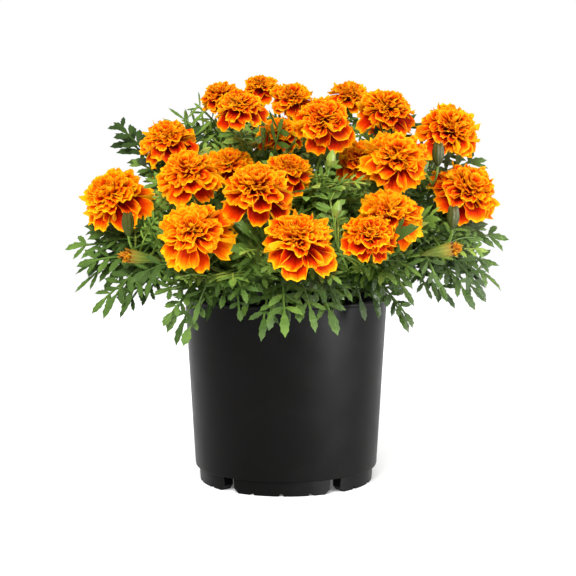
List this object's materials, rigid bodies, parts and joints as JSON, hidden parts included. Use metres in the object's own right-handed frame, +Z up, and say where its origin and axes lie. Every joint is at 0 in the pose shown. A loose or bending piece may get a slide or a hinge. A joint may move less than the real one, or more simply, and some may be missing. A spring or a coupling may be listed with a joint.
{
  "type": "potted french marigold",
  "caption": "Bushy french marigold with frilled orange and gold flower heads, feathery cut leaves and a few buds, growing in potting mix in a round black nursery pot with notched feet.",
  "frame": {"origin": "middle of the pot's underside, on the surface that it stands on", "axes": "+Z up, +X to the right and -Y towards the viewer of the plant's front"},
  "size_m": [0.3562, 0.3164, 0.3375],
  "materials": {
    "pot_plastic": "satin black moulded plastic",
    "potting_mix": "rough, dark brown, fibrous",
    "green_growth": "soft matt leaf green with paler veins",
    "petals": "velvety orange, deep red at the base and golden yellow at the rim"
  },
  "bodies": {
    "root": {"pot": "pot_plastic", "soil": "potting_mix", "stem_01": "green_growth", "stem_02": "green_growth", "stem_03": "green_growth", "stem_04": "green_growth", "stem_05": "green_growth", "stem_06": "green_growth", "stem_07": "green_growth", "stem_08": "green_growth", "stem_09": "green_growth", "stem_10": "green_growth", "stem_11": "green_growth", "stem_12": "green_growth", "stem_13": "green_growth", "stem_14": "green_growth", "stem_15": "green_growth", "stem_16": "green_growth", "stem_17": "green_growth", "stem_18": "green_growth", "bloom_01": "petals", "bloom_02": "petals", "bloom_03": "petals", "bloom_04": "petals", "bloom_05": "petals", "bloom_06": "petals", "bloom_07": "petals", "bloom_08": "petals", "bloom_09": "petals", "bloom_10": "petals", "bloom_11": "petals", "bloom_12": "petals", "bloom_13": "petals", "bloom_14": "petals", "bloom_15": "petals", "bloom_16": "petals", "bloom_17": "petals", "bloom_18": "petals", "bloom_19": "petals", "bloom_20": "petals", "bloom_21": "petals", "bloom_22": "petals", "bloom_23": "petals", "bloom_24": "petals", "bloom_25": "petals", "bloom_26": "petals", "bloom_27": "petals", "bloom_28": "petals", "bloom_29": "petals", "bloom_30": "petals", "bloom_31": "petals", "bud_left_petals": "petals", "bud_right_petals": "petals"}
  },
  "joints": []
}
